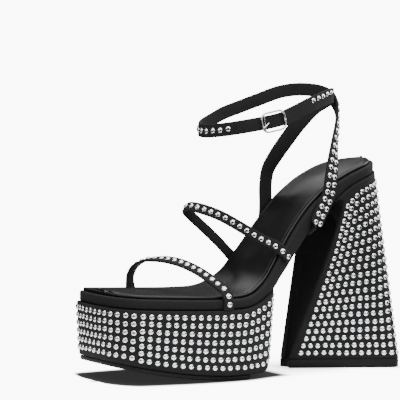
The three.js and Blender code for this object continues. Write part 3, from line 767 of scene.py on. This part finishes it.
def platformStones():
    # side rows round the sides and toe rows across the toe, at equal steps of each stretch of the run
    spots, normals = [], []
    toeFrom = last["length"] - stoneLook["toeReach"]
    for rows, toe in ((stoneLook["sideRows"], False), (stoneLook["toeRows"], True)):
        for up in np.linspace(*rows):
            ring, run = wallRow(up)
            known = np.column_stack([ring, wallNormal(ring)])
            keep = (ring[:, 0] > toeFrom) == toe
            for stretch in np.split(np.arange(len(ring)), np.flatnonzero(np.diff(keep.astype(int))) + 1):
                if not keep[stretch[0]] or len(stretch) < 3:
                    continue
                length = run[stretch[-1]] - run[stretch[0]]
                count = max(int(round(length / stoneLook["pitch"])), 1)
                found = alongRun(run[stretch[0]] + (np.arange(count) + 0.5) * length / count, run, known)
                spots.append(found[:, :3])
                normals.append(unit(found[:, 3:]))
    return np.concatenate(spots), np.concatenate(normals)


def rowAt(band, height):
    # the band's point where each of its columns reaches its height: mix(below, above, share)
    rise = band[..., 2]
    k = np.clip((rise <= height).sum(0) - 1, 0, len(band) - 2)
    columns = np.arange(band.shape[1])
    below, above = band[k, columns], band[k + 1, columns]
    share = np.clip((height - below[:, 2]) / (above[:, 2] - below[:, 2]), 0, 1)
    return mix(below, above, share[:, None])


def alongRow(band, row, run, start, stop, ends):
    # stones at equal steps between two places on a row's run; normal = ahead x rise, turned outward
    count = max(int(round((stop - start) / stoneLook["heelPitch"])), 1)
    at = np.linspace(start, stop, count + 1)
    at = at if ends else at[1:-1]
    ahead = unit(np.gradient(row, axis=0))
    lower = rowAt(band, row[:, 2] - 2.0)
    out = unit(np.cross(ahead, unit(row - lower)))
    flat = np.column_stack([ahead[:, 1], -ahead[:, 0], np.zeros(len(row))])
    out = out * np.sign((out * flat).sum(1, keepdims=True) + 1e-9)
    found = alongRun(at, run, np.column_stack([row, out]))
    return found[:, :3], unit(found[:, 3:])


def heelStones():
    # rows over outer side, rear and inner side: height = low + (line under the top edge - low) * share;
    # a stone stands on each corner line, which turns into the corner with the share
    v = stoneLook
    band = heelBand(np.linspace(0, 0.9999, 300))[:, sideStart:sideStart + sum(ringParts[2:7]) + 1]
    top = band[-1, :, 2] - v["heelTop"]
    low = heelLook["tip"] + v["heelLow"]
    spots, normals = [], []
    for share in np.linspace(0, 1, v["heelRows"]):
        row = rowAt(band, low + (top - low) * share)
        run = runLength(row)
        margin = mix(v["heelBorder"], v["heelBorderTop"], share)
        into = ringParts[3] * mix(v["cornerFrom"], v["cornerTo"], share)
        corners = (ringParts[2] + into, len(run) - 1 - ringParts[6] - into)
        places = (margin, *np.interp(corners, np.arange(len(run)), run), run[-1] - margin)
        for k, ends in enumerate((True, False, True)):
            spot, normal = alongRow(band, row, run, places[k], places[k + 1], ends)
            spots.append(spot)
            normals.append(normal)
    return np.concatenate(spots), np.concatenate(normals)


footbed = makeFootbed()
insole = makeInsole()
platform = makePlatform()
outsole = makeOutsole()
print("stage: sole layers made")
heel = makeHeel()
heelTip = makeHeelTip()
toeStrap = makeStrap("toe_strap_cover", toeWay, toeArch["width"])
instepStrap = makeStrap("instep_strap_cover", instepWay, instepArch["width"])
longStrap = makeStrap("ankle_strap_long", longWay, longWidth)
shortStrap = makeStrap("ankle_strap_short", shortWay, strapLook["riserWidth"])
print("stage: heel and straps made")
platformGems = stoneMesh("platform_stones", *platformStones(), stoneLook["wall"])
heelGems = stoneMesh("heel_stones", *heelStones(), stoneLook["wall"])
risers = (-stoneLook["riserOffset"], stoneLook["riserOffset"])
strapPitch, riserPitch = stoneLook["strapPitch"], stoneLook["riserPitch"]
longOver = shareAt(longWay, longRows[4])
longEnd = shareAt(longWay, mix(longRows[16], longRows[17], 0.45))
shortOver = shareAt(shortWay, shortRows[4])
shortEnd = shareAt(shortWay, mix(shortRows[9], shortRows[10], 0.7))
# single rows over toe and foot, double ones up the risers to where they cross, single ones beyond
strapRuns = (
    strapStones(toeWay, (0,), 0.03, 0.97, strapPitch),
    strapStones(instepWay, (0,), 0.02, 0.98, strapPitch),
    strapStones(longWay, risers, 0.01, longOver, riserPitch),
    strapStones(longWay, (0,), longOver + 0.012, longEnd, riserPitch),
    strapStones(shortWay, risers, 0.01, shortOver, riserPitch),
    strapStones(shortWay, risers[:1], shareAt(shortWay, shortRows[8]), shortEnd, riserPitch),
)
strapGems = stoneMesh("strap_stones", *map(np.concatenate, zip(*strapRuns)), stoneLook["strap"])
buckleWire, buckleHook = makeBuckle()
print("stage: stones and buckle made")

pieces = (  # piece, the CAD nodes it stands for, its slot and its finish
    (footbed, ["footbed"], "suede", "suede"),
    (insole, ["insole"], "leather", "leather"),
    (platform, ["platform"], "suede", "suede"),
    (outsole, ["outsole"], "rubber", "rubber"),
    (heel, ["heel_block"], "suede", "heel suede"),
    (heelTip, ["heel_top_piece"], "rubber", "rubber"),
    (toeStrap, ["toe_strap"], "suede", "suede"),
    (instepStrap, ["instep_strap"], "suede", "suede"),
    (longStrap, ["ankle_straps"], "suede", "suede"),
    (shortStrap, [], "suede", "suede"),
    (platformGems, [], "steel", "stone"),
    (heelGems, [], "steel", "stone"),
    (strapGems, [], "steel", "stone"),
    (buckleWire, ["buckle_frame"], "steel", "steel"),
    (buckleHook, ["buckle_prong"], "steel", "steel"),
)
for piece, nodes, slot, finish in pieces:
    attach(piece, "root")
    if nodes:
        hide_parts(*nodes)


# Materials. Lengths in the node groups are in mm of the object's own coordinates.
def newGroup(name, inputs, outputs):
    # a shader node group with named sockets; returns its tree, input and output nodes
    tree = bpy.data.node_groups.new(name, "ShaderNodeTree")
    for label, kind, value in inputs:
        socket = tree.interface.new_socket(label, in_out="INPUT", socket_type=kind)
        socket.default_value = value
    for label, kind in outputs:
        tree.interface.new_socket(label, in_out="OUTPUT", socket_type=kind)
    return tree, tree.nodes.new("NodeGroupInput"), tree.nodes.new("NodeGroupOutput")


def addNode(tree, kind, **values):
    # a node with its settings
    node = tree.nodes.new(kind)
    for key, value in values.items():
        setattr(node, key, value)
    return node


def colourMix(tree, factor, low, high):
    # colour = low + (high - low) * factor; low and high are sockets or colours
    node = addNode(tree, "ShaderNodeMix", data_type="RGBA")
    tree.links.new(factor, node.inputs["Factor"])
    for socket, value in ((node.inputs["A"], low), (node.inputs["B"], high)):
        if isinstance(value, tuple):
            socket.default_value = value
        else:
            tree.links.new(value, socket)
    return node.outputs["Result"]


def ranged(tree, value, fromLow, fromHigh, toLow, toHigh):
    # clamped linear map; each limit is a number or a socket
    node = addNode(tree, "ShaderNodeMapRange")
    tree.links.new(value, node.inputs["Value"])
    limits = {"From Min": fromLow, "From Max": fromHigh, "To Min": toLow, "To Max": toHigh}
    for label, limit in limits.items():
        if isinstance(limit, (int, float)):
            node.inputs[label].default_value = limit
        else:
            tree.links.new(limit, node.inputs[label])
    return node.outputs["Result"]


def objectPoint(tree):
    # the object's own coordinates in mm
    coords = addNode(tree, "ShaderNodeTexCoord")
    scale = addNode(tree, "ShaderNodeVectorMath", operation="SCALE")
    scale.inputs["Scale"].default_value = 1 / mm
    tree.links.new(coords.outputs["Object"], scale.inputs[0])
    return scale.outputs["Vector"]


def textureAt(tree, point, size, kind, **settings):
    # a texture node at a point whose features are about size mm: scale = 1 / size
    node = addNode(tree, kind, **settings)
    scale = addNode(tree, "ShaderNodeMath", operation="DIVIDE")
    scale.inputs[0].default_value = 1.0
    tree.links.new(size, scale.inputs[1])
    tree.links.new(scale.outputs["Value"], node.inputs["Scale"])
    tree.links.new(point, node.inputs["Vector"])
    return node


def noiseAt(tree, point, size, detail, rough=0.55):
    # noise from 0 to 1 with finer copies of itself added
    node = textureAt(tree, point, size, "ShaderNodeTexNoise")
    node.inputs["Detail"].default_value = detail
    node.inputs["Roughness"].default_value = rough
    return node.outputs["Fac"]


def napGroup():
    # brushed nap: fine fibres over soft patches, both shift colour and roughness
    tree, given, made = newGroup("nap", (
        ("Fibre Size", "NodeSocketFloat", 0.35), ("Patch Size", "NodeSocketFloat", 14.0),
        ("Dark", "NodeSocketColor", (0.003, 0.003, 0.003, 1)),
        ("Light", "NodeSocketColor", (0.012, 0.012, 0.012, 1)),
        ("Rough Low", "NodeSocketFloat", 0.7), ("Rough High", "NodeSocketFloat", 0.9),
    ), (("Color", "NodeSocketColor"), ("Roughness", "NodeSocketFloat"), ("Height", "NodeSocketFloat")))
    point = objectPoint(tree)
    fibre = noiseAt(tree, point, given.outputs["Fibre Size"], 3.0)
    patch = noiseAt(tree, point, given.outputs["Patch Size"], 2.0)
    both = addNode(tree, "ShaderNodeMath", operation="MULTIPLY_ADD")
    tree.links.new(patch, both.inputs[0])
    both.inputs[1].default_value = 0.6
    tree.links.new(fibre, both.inputs[2])
    share = ranged(tree, both.outputs["Value"], 0.55, 1.05, 0.0, 1.0)
    colour = colourMix(tree, share, given.outputs["Dark"], given.outputs["Light"])
    tree.links.new(colour, made.inputs["Color"])
    rough = ranged(tree, patch, 0.3, 0.7, given.outputs["Rough Low"], given.outputs["Rough High"])
    tree.links.new(rough, made.inputs["Roughness"])
    tree.links.new(fibre, made.inputs["Height"])
    return tree


def grainGroup():
    # pebbled grain: cells of one size, flattened on top, with slow changes of roughness
    tree, given, made = newGroup("grain", (
        ("Cell Size", "NodeSocketFloat", 0.8), ("Patch Size", "NodeSocketFloat", 20.0),
        ("Rough Low", "NodeSocketFloat", 0.35), ("Rough High", "NodeSocketFloat", 0.5),
    ), (("Height", "NodeSocketFloat"), ("Roughness", "NodeSocketFloat"), ("Wear", "NodeSocketFloat")))
    point = objectPoint(tree)
    cells = textureAt(tree, point, given.outputs["Cell Size"], "ShaderNodeTexVoronoi", feature="SMOOTH_F1")
    tree.links.new(ranged(tree, cells.outputs["Distance"], 0.1, 0.7, 1.0, 0.0), made.inputs["Height"])
    patch = noiseAt(tree, point, given.outputs["Patch Size"], 3.0)
    rough = ranged(tree, patch, 0.3, 0.7, given.outputs["Rough Low"], given.outputs["Rough High"])
    tree.links.new(rough, made.inputs["Roughness"])
    tree.links.new(ranged(tree, patch, 0.35, 0.65, 0.0, 1.0), made.inputs["Wear"])
    return tree


def polishGroup():
    # hairline marks of polishing: thin streaks of noise raise the roughness
    tree, given, made = newGroup("polish", (
        ("Mark Size", "NodeSocketFloat", 0.6), ("Rough Low", "NodeSocketFloat", 0.05),
        ("Rough High", "NodeSocketFloat", 0.12),
    ), (("Roughness", "NodeSocketFloat"), ("Share", "NodeSocketFloat")))
    marks = noiseAt(tree, objectPoint(tree), given.outputs["Mark Size"], 4.0, 0.7)
    rough = ranged(tree, marks, 0.35, 0.7, given.outputs["Rough Low"], given.outputs["Rough High"])
    tree.links.new(rough, made.inputs["Roughness"])
    tree.links.new(ranged(tree, marks, 0.3, 0.7, 0.0, 1.0), made.inputs["Share"])
    return tree


effects = {"nap": napGroup(), "grain": grainGroup(), "polish": polishGroup()}


def newMaterial(name, effect, values, uniform):
    # a material with one effect placed in it, the effect's own values and the shader's uniform ones
    material = bpy.data.materials.new(name)
    material.use_nodes = True
    tree = material.node_tree
    shader = tree.nodes["Principled BSDF"]
    for label, value in uniform.items():
        shader.inputs[label].default_value = value
    placed = addNode(tree, "ShaderNodeGroup", node_tree=effects[effect])
    for label, value in values.items():
        placed.inputs[label].default_value = value
    tree.links.new(placed.outputs["Roughness"], shader.inputs["Roughness"])
    return material, tree, shader, placed


def addBump(tree, shader, height, distance, strength):
    # relief of a height, distance in mm
    bump = addNode(tree, "ShaderNodeBump")
    bump.inputs["Distance"].default_value = distance * mm
    bump.inputs["Strength"].default_value = strength
    tree.links.new(height, bump.inputs["Height"])
    tree.links.new(bump.outputs["Normal"], shader.inputs["Normal"])


suedeLook = {
    "dark": (0.0035, 0.0035, 0.0038, 1), "light": (0.013, 0.013, 0.0135, 1), "fibre": 0.4, "patch": 16.0,
    "low": 0.72, "high": 0.92, "specular": 0.22, "bump": 0.12, "strength": 0.5,
}
# the panel of the heel's breast: smoother satin, its colour darkened further as painted shade for a face
# turned from the light
satinAndShadeLook = {"colour": (0.0008, 0.0008, 0.0009, 1), "rough": 0.6}
leatherLook = {
    "base": (0.003, 0.003, 0.0033, 1), "worn": (0.006, 0.006, 0.0063, 1), "cell": 0.7, "patch": 30.0,
    "low": 0.3, "high": 0.4, "specular": 0.3, "bump": 0.05, "strength": 0.35,
}
rubberLook = {
    "base": (0.003, 0.003, 0.003, 1), "worn": (0.006, 0.006, 0.006, 1), "cell": 0.5, "patch": 12.0,
    "low": 0.5, "high": 0.65, "specular": 0.16, "bump": 0.05, "strength": 0.3,
}
stoneMetal = {"dark": (0.78, 0.79, 0.82, 1), "bright": (0.95, 0.955, 0.965, 1), "low": 0.05, "high": 0.11}
steelLook = {"dark": (0.55, 0.55, 0.56, 1), "bright": (0.78, 0.78, 0.79, 1), "low": 0.14, "high": 0.26}


def napMaterial(name, panel=False):
    # brushed suede; with a panel its colour and roughness = mix(suede, satin, the mesh's own attribute), the
    # satin's darker colour being painted shade
    v = suedeLook
    material, tree, shader, nap = newMaterial(name, "nap", {
        "Fibre Size": v["fibre"], "Patch Size": v["patch"], "Dark": v["dark"], "Light": v["light"],
        "Rough Low": v["low"], "Rough High": v["high"],
    }, {"Specular IOR Level": v["specular"]})
    colour = nap.outputs["Color"]
    if panel:
        part = addNode(tree, "ShaderNodeAttribute", attribute_name="panel").outputs["Fac"]
        # painted shade: the panel share darkens the breast's colour beyond the suede's
        colour = colourMix(tree, part, colour, satinAndShadeLook["colour"])
        rough = addNode(tree, "ShaderNodeMix", data_type="FLOAT")
        tree.links.new(part, rough.inputs["Factor"])
        tree.links.new(nap.outputs["Roughness"], rough.inputs["A"])
        rough.inputs["B"].default_value = satinAndShadeLook["rough"]
        tree.links.new(rough.outputs["Result"], shader.inputs["Roughness"])
    tree.links.new(colour, shader.inputs["Base Color"])
    addBump(tree, shader, nap.outputs["Height"], v["bump"], v["strength"])
    return material


def grainMaterial(name, v):
    # grained surface, its colour = mix(base, worn, the effect's wear)
    material, tree, shader, grain = newMaterial(name, "grain", {
        "Cell Size": v["cell"], "Patch Size": v["patch"], "Rough Low": v["low"], "Rough High": v["high"],
    }, {"Specular IOR Level": v["specular"]})
    tree.links.new(colourMix(tree, grain.outputs["Wear"], v["base"], v["worn"]), shader.inputs["Base Color"])
    addBump(tree, shader, grain.outputs["Height"], v["bump"], v["strength"])
    return material


def metalMaterial(name, v):
    # polished metal, its colour = mix(dark, bright, the effect's share)
    material, tree, shader, polish = newMaterial(name, "polish", {
        "Rough Low": v["low"], "Rough High": v["high"],
    }, {"Metallic": 1.0})
    colour = colourMix(tree, polish.outputs["Share"], v["dark"], v["bright"])
    tree.links.new(colour, shader.inputs["Base Color"])
    return material


finishes = {
    "suede": napMaterial("suede"), "heel suede": napMaterial("heel suede", panel=True),
    "leather": grainMaterial("leather", leatherLook), "rubber": grainMaterial("rubber", rubberLook),
    "stone": metalMaterial("stone", stoneMetal), "steel": metalMaterial("steel", steelLook),
}
for piece, nodes, slot, finish in pieces:
    piece.data.materials.clear()
    piece.data.materials.append(finishes[finish])
print("stage: materials made")

# Camera at the photograph's place: angles in degrees, place in mm from the part's origin, focal length in px
cameraLook = {
    "turn": 32.616, "pitch": 3.368, "roll": -0.824, "place": (926.23, 1251.69, 209.04), "focal": 2141.5,
    "picture": 400.0, "sensor": 36.0,
}


def makeCamera():
    # back = (sin turn * cos pitch, cos turn * cos pitch, sin pitch), then right and up turned by the roll
    v = cameraLook
    turn, pitch, roll = (math.radians(v[key]) for key in ("turn", "pitch", "roll"))
    right = Vector((-math.cos(turn), math.sin(turn), 0))
    back = Vector((math.sin(turn) * math.cos(pitch), math.cos(turn) * math.cos(pitch), math.sin(pitch)))
    up = back.cross(right)
    rolledRight = right * math.cos(roll) - up * math.sin(roll)
    rolledUp = right * math.sin(roll) + up * math.cos(roll)
    data = bpy.data.cameras.new("camera")
    data.sensor_width = v["sensor"]
    data.lens = v["sensor"] * v["focal"] / v["picture"]
    data.clip_end = 50.0
    camera = bpy.data.objects.new("camera", data)
    turned = Matrix((rolledRight, rolledUp, back)).transposed().to_4x4()
    camera.matrix_world = Matrix.Translation(Vector(v["place"]) * mm) @ turned
    bpy.context.scene.collection.objects.link(camera)
    bpy.context.scene.camera = camera


makeCamera()

# Studio: brightness of floor and world as the camera, mirrors and everything else see them
studioLook = {"seen": 10.0, "world": 0.05, "bounce": 0.065, "mirror": 0.3, "near": 90.0, "far": 300.0}
# floor in mm: fine steps in a field round the shoe, coarse ones beyond it
floorLook = {
    "half": 3000.0, "fine": 1.5, "coarse": 60.0, "coarseFrom": 90.0, "coarseTo": 900.0,
    "back": -70.0, "front": 241.0, "side": 80.0, "middle": 90.0,
}
# shadow in mm: darkness under the platform, then shares for the arch and round the heel
shadowLook = {
    "level": 0.0035, "inside": 2.0, "soft": 7.0, "rearReach": 4.0,
    "arch": 0.55, "archAt": 70.0, "archHalf": 34.0, "archInside": 14.0, "archOutside": 16.0,
    "archEndIn": 8.0, "archEndOut": 12.0, "heel": 0.5, "heelInside": 1.0, "heelSoft": 9.0,
}


def shadeAt(x, y):
    # share of shadow under a light straight above: 1 - (1 - under) * (1 - arch) * (1 - near), where each is
    # its own share * (1 - smooth(distance outside an outline, from inside it to its soft edge))
    v = shadowLook
    seat = x + heelMiddle
    outer, inner = halfWidths(seat, platformLook["ledge"])
    side = np.where(y > 0, y - outer, -y - inner)
    toe = seat - last["length"] - platformLook["ledge"]
    rear = platformLook["back"] - v["rearReach"] - seat
    under = 1 - smooth(np.maximum(np.maximum(side, toe), rear), -v["inside"], v["soft"])
    along = np.abs(seat - v["archAt"]) - v["archHalf"]
    arch = 1 - smooth(side, -v["archInside"], v["archOutside"])
    arch = arch * (1 - smooth(along, -v["archEndIn"], v["archEndOut"])) * v["arch"]
    keys = heelKeys(0.0)
    front, back = keys["outer"]["front"], keys["outer"]["rear"]
    half = mix(front[1], back[1], np.clip((front[0] - seat) / (front[0] - back[0]), 0, 1))
    beside = np.maximum(np.abs(y) - half, np.maximum(seat - front[0], back[0] - seat))
    near = (1 - smooth(beside, -v["heelInside"], v["heelSoft"])) * v["heel"]
    return 1 - (1 - under) * (1 - arch) * (1 - near)


def makeFloor():
    # a flat grid with attributes shade = shadeAt and mirror = (1 - shade) * (1 - smooth(distance, near, far))
    v = floorLook
    far = np.arange(v["coarseFrom"], v["coarseTo"], v["coarse"])
    nearX = np.arange(v["back"], v["front"], v["fine"])
    nearY = np.arange(-v["side"], v["side"] + 1, v["fine"])
    x = np.concatenate([[-v["half"]], -far[::-1], nearX, far[far > v["front"]], [v["half"]]])
    y = np.concatenate([[-v["half"]], -far[::-1], nearY, far, [v["half"]]])
    gridX, gridY = np.meshgrid(x, y, indexing="ij")
    points = np.stack([gridX + heelMiddle, gridY, np.zeros_like(gridX)], -1)
    index = np.arange(gridX.size).reshape(gridX.shape)
    quads = np.stack([index[:-1, :-1], index[1:, :-1], index[1:, 1:], index[:-1, 1:]], -1).reshape(-1, 4)
    floor = meshObject("floor", points, [quads])
    shade = shadeAt(gridX.ravel(), gridY.ravel())
    away = np.hypot(gridX.ravel() - v["middle"], gridY.ravel())
    addAttribute(floor, "shade", shade)
    addAttribute(floor, "mirror", (1 - shade) * (1 - smooth(away, studioLook["near"], studioLook["far"])))
    floor.data.materials.append(floorMaterial())


def floorMaterial():
    # glows white with the shadow painted for the camera, dimly for mirrors, and faintly for all other rays
    material = bpy.data.materials.new("floor")
    material.use_nodes = True
    tree = material.node_tree
    shader = tree.nodes["Principled BSDF"]
    shader.inputs["Base Color"].default_value = (0.02, 0.02, 0.02, 1)
    shader.inputs["Roughness"].default_value = 0.9
    shader.inputs["Specular IOR Level"].default_value = 0.0
    shader.inputs["Emission Strength"].default_value = studioLook["seen"]
    shade, mirror = (addNode(tree, "ShaderNodeAttribute", attribute_name=name).outputs["Fac"]
                     for name in ("shade", "mirror"))
    black, white, dark, bounce, shine = (
        (level, level, level, 1)
        for level in (0.0, 1.0, shadowLook["level"], studioLook["bounce"], studioLook["mirror"]))
    rays = addNode(tree, "ShaderNodeLightPath")
    lit = colourMix(tree, shade, bounce, black)
    unseen = colourMix(tree, rays.outputs["Is Glossy Ray"], lit, colourMix(tree, mirror, black, shine))
    glow = colourMix(tree, rays.outputs["Is Camera Ray"], unseen, colourMix(tree, shade, white, dark))
    tree.links.new(glow, shader.inputs["Emission Color"])
    return material


def makeWorld():
    # white where the camera sees it, dim for everything it lights
    world = bpy.data.worlds.new("studio")
    bpy.context.scene.world = world
    world.use_nodes = True
    tree = world.node_tree
    tree.nodes.clear()
    output = addNode(tree, "ShaderNodeOutputWorld")
    seen = addNode(tree, "ShaderNodeBackground")
    seen.inputs["Strength"].default_value = studioLook["seen"]
    lighting = addNode(tree, "ShaderNodeBackground")
    lighting.inputs["Strength"].default_value = studioLook["world"]
    for node in (seen, lighting):
        node.inputs["Color"].default_value = (1, 1, 1, 1)
    rays = addNode(tree, "ShaderNodeLightPath")
    blend = addNode(tree, "ShaderNodeMixShader")
    tree.links.new(rays.outputs["Is Camera Ray"], blend.inputs[0])
    tree.links.new(lighting.outputs[0], blend.inputs[1])
    tree.links.new(seen.outputs[0], blend.inputs[2])
    tree.links.new(blend.outputs[0], output.inputs[0])


# Softboxes: turn right of the camera and rise in degrees, distance and size in m, radiance
lights = (
    {"name": "front", "turn": 0.0, "rise": 47.0, "away": 2.2, "size": (2.4, 1.4), "radiance": 4.6},
    {"name": "strip", "turn": 34.0, "rise": 12.0, "away": 2.3, "size": (0.7, 1.2), "radiance": 4.0},
    {"name": "side", "turn": 80.0, "rise": 42.0, "away": 2.0, "size": (1.9, 0.9), "radiance": 5.0},
    {"name": "top", "turn": 0.0, "rise": 86.0, "away": 1.5, "size": (1.5, 1.5), "radiance": 3.5},
    {"name": "left", "turn": -66.0, "rise": 20.0, "away": 2.0, "size": (1.4, 1.3), "radiance": 2.6},
    {"name": "right", "turn": 128.0, "rise": 16.0, "away": 1.9, "size": (1.0, 1.3), "radiance": 4.0},
    {"name": "back", "turn": 180.0, "rise": 48.0, "away": 1.9, "size": (1.8, 0.8), "radiance": 3.0},
)


def softbox(name, turn, rise, away, size, radiance):
    # place = middle + away * (cos rise * (sin turn, cos turn), sin rise); power = radiance * pi * area
    middle = Vector((0.09, 0.0, 0.1))
    angle = math.radians(cameraLook["turn"] - turn)
    level = math.cos(math.radians(rise))
    way = Vector((math.sin(angle) * level, math.cos(angle) * level, math.sin(math.radians(rise))))
    data = bpy.data.lights.new(name, "AREA")
    data.shape = "RECTANGLE"
    data.size, data.size_y = size
    data.energy = radiance * math.pi * size[0] * size[1]
    thing = bpy.data.objects.new(name, data)
    thing.location = middle + way * away
    thing.rotation_euler = way.to_track_quat("Z", "Y").to_euler()
    bpy.context.scene.collection.objects.link(thing)


makeFloor()
makeWorld()
for light in lights:
    softbox(**light)
print("stage: studio made")
